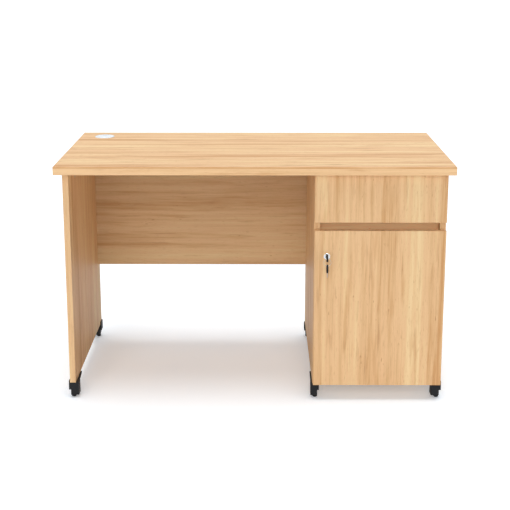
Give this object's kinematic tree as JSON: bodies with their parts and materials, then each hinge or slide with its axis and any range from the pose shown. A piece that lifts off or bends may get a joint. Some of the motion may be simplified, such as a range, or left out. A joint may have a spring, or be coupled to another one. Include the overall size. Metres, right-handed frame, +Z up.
{
  "type": "office desk",
  "caption": "Oak-faced office desk with end panel, modesty panel and a fixed pedestal holding a drawer over a lockable cupboard.",
  "frame": {"origin": "on the floor, under the middle of the desk's bounding box", "axes": "+X to the right of a seated user's view from the front, +Y to the rear, +Z up"},
  "size_m": [1.2, 0.6176, 0.7525],
  "materials": {
    "oak_top": "satin",
    "oak_board": "satin",
    "oak_front": "satin",
    "edging_strip": "satin",
    "white_board": "satin",
    "white_steel": "satin",
    "white_nylon": "satin",
    "zinc": "satin",
    "nickel": "polished",
    "black_plastic": "matte",
    "white_plastic": "satin",
    "beech": "matte",
    "clear_rubber": "matte"
  },
  "bodies": {
    "carcass": {"worktop": "oak_top", "worktop_edging": "edging_strip", "end_panel_left": "oak_board", "modesty_panel": "oak_board", "pedestal_side_inner": "oak_board", "pedestal_side_outer": "oak_board", "pedestal_bottom": "oak_board", "pedestal_divider": "oak_board", "finger_rail": "oak_board", "pedestal_back": "oak_board", "top_rails": "oak_board", "shelf": "oak_board", "shelf_pins": "zinc", "runner_cabinet_left": "white_steel", "runner_cabinet_right": "white_steel", "hinge_plates": "nickel", "hinge_arms": "nickel", "strike_plate": "nickel", "carcass_screws": "zinc", "cam_discs": "zinc", "cam_bolts": "zinc", "dowels": "beech", "grommet_liner": "white_plastic", "foot_left_front": "black_plastic", "foot_left_rear": "black_plastic", "foot_inner_front": "black_plastic", "foot_inner_rear": "black_plastic", "foot_outer_front": "black_plastic", "foot_outer_rear": "black_plastic"},
    "grommet_cap": {"grommet_cap": "white_plastic"},
    "drawer": {"drawer_front": "oak_front", "drawer_side_left": "white_board", "drawer_side_right": "white_board", "drawer_back": "white_board", "drawer_bottom": "white_board", "runner_drawer_left": "white_steel", "runner_drawer_right": "white_steel", "drawer_screws": "zinc"},
    "roller_cabinet_left": {"roller_cabinet_left": "white_nylon"},
    "roller_cabinet_right": {"roller_cabinet_right": "white_nylon"},
    "roller_drawer_left": {"roller_drawer_left": "white_nylon"},
    "roller_drawer_right": {"roller_drawer_right": "white_nylon"},
    "door": {"door": "oak_front", "hinge_cups": "nickel", "door_screws": "zinc", "door_bumpers": "clear_rubber", "lock_housing": "nickel"},
    "lock_barrel": {"lock_plug": "nickel", "lock_cam": "zinc", "lock_cam_nut": "zinc"},
    "key": {"key": "black_plastic"},
    "key_ring": {"key_ring": "nickel"},
    "spare_key": {"spare_key": "black_plastic"},
    "glide_left_front": {"glide_left_front": "black_plastic"},
    "glide_left_rear": {"glide_left_rear": "black_plastic"},
    "glide_inner_front": {"glide_inner_front": "black_plastic"},
    "glide_inner_rear": {"glide_inner_rear": "black_plastic"},
    "glide_outer_front": {"glide_outer_front": "black_plastic"},
    "glide_outer_rear": {"glide_outer_rear": "black_plastic"}
  },
  "joints": [
    {"name": "drawer_slide", "type": "slide", "parent": "carcass", "child": "drawer", "axis": [0, -1, 0], "range_m": [0, 0.375]},
    {"name": "door_open", "type": "hinge", "parent": "carcass", "child": "door", "pos_m": [0.5725, -0.26515, 0.3], "axis": [0, 0, 1], "range_deg": [0, 100]},
    {"name": "lock_turn", "type": "hinge", "parent": "door", "child": "lock_barrel", "pos_m": [0.219, -0.27115, 0.4694], "axis": [0, 1, 0], "range_deg": [0, 90]},
    {"name": "key_pull", "type": "slide", "parent": "lock_barrel", "child": "key", "axis": [0, -1, 0], "range_m": [0, 0.016]},
    {"name": "ring_swing", "type": "hinge", "parent": "key", "child": "key_ring", "pos_m": [0.219, -0.29735, 0.4694], "axis": [1, 0, 0], "range_deg": [-60, 15]},
    {"name": "spare_key_swing", "type": "hinge", "parent": "key_ring", "child": "spare_key", "pos_m": [0.219, -0.29735, 0.447], "axis": [1, 0, 0], "range_deg": [-60, 15]},
    {"name": "grommet_cap_lift", "type": "slide", "parent": "carcass", "child": "grommet_cap", "axis": [0, 0, 1], "range_m": [0, 0.025]},
    {"name": "roller_cabinet_left_spin", "type": "hinge", "parent": "carcass", "child": "roller_cabinet_left", "pos_m": [0.20425, -0.23715, 0.6002], "axis": [1, 0, 0], "range_deg": [0, 2528.8]},
    {"name": "roller_drawer_left_spin", "type": "hinge", "parent": "drawer", "child": "roller_drawer_left", "pos_m": [0.20425, 0.23285, 0.6002], "axis": [1, 0, 0], "range_deg": [0, 2528.8]},
    {"name": "roller_cabinet_right_spin", "type": "hinge", "parent": "carcass", "child": "roller_cabinet_right", "pos_m": [0.55575, -0.23715, 0.6002], "axis": [1, 0, 0], "range_deg": [0, 2528.8]},
    {"name": "roller_drawer_right_spin", "type": "hinge", "parent": "drawer", "child": "roller_drawer_right", "pos_m": [0.55575, 0.23285, 0.6002], "axis": [1, 0, 0], "range_deg": [0, 2528.8]},
    {"name": "glide_left_front_level", "type": "slide", "parent": "carcass", "child": "glide_left_front", "axis": [0, 0, -1], "range_m": [0, 0.01]},
    {"name": "glide_left_rear_level", "type": "slide", "parent": "carcass", "child": "glide_left_rear", "axis": [0, 0, -1], "range_m": [0, 0.01]},
    {"name": "glide_inner_front_level", "type": "slide", "parent": "carcass", "child": "glide_inner_front", "axis": [0, 0, -1], "range_m": [0, 0.01]},
    {"name": "glide_inner_rear_level", "type": "slide", "parent": "carcass", "child": "glide_inner_rear", "axis": [0, 0, -1], "range_m": [0, 0.01]},
    {"name": "glide_outer_front_level", "type": "slide", "parent": "carcass", "child": "glide_outer_front", "axis": [0, 0, -1], "range_m": [0, 0.01]},
    {"name": "glide_outer_rear_level", "type": "slide", "parent": "carcass", "child": "glide_outer_rear", "axis": [0, 0, -1], "range_m": [0, 0.01]}
  ],
  "couplings": [
    {"joint": "roller_cabinet_left_spin", "follows": "drawer_slide", "rad_per_m": 117.65},
    {"joint": "roller_drawer_left_spin", "follows": "drawer_slide", "rad_per_m": 117.65},
    {"joint": "roller_cabinet_right_spin", "follows": "drawer_slide", "rad_per_m": 117.65},
    {"joint": "roller_drawer_right_spin", "follows": "drawer_slide", "rad_per_m": 117.65}
  ]
}
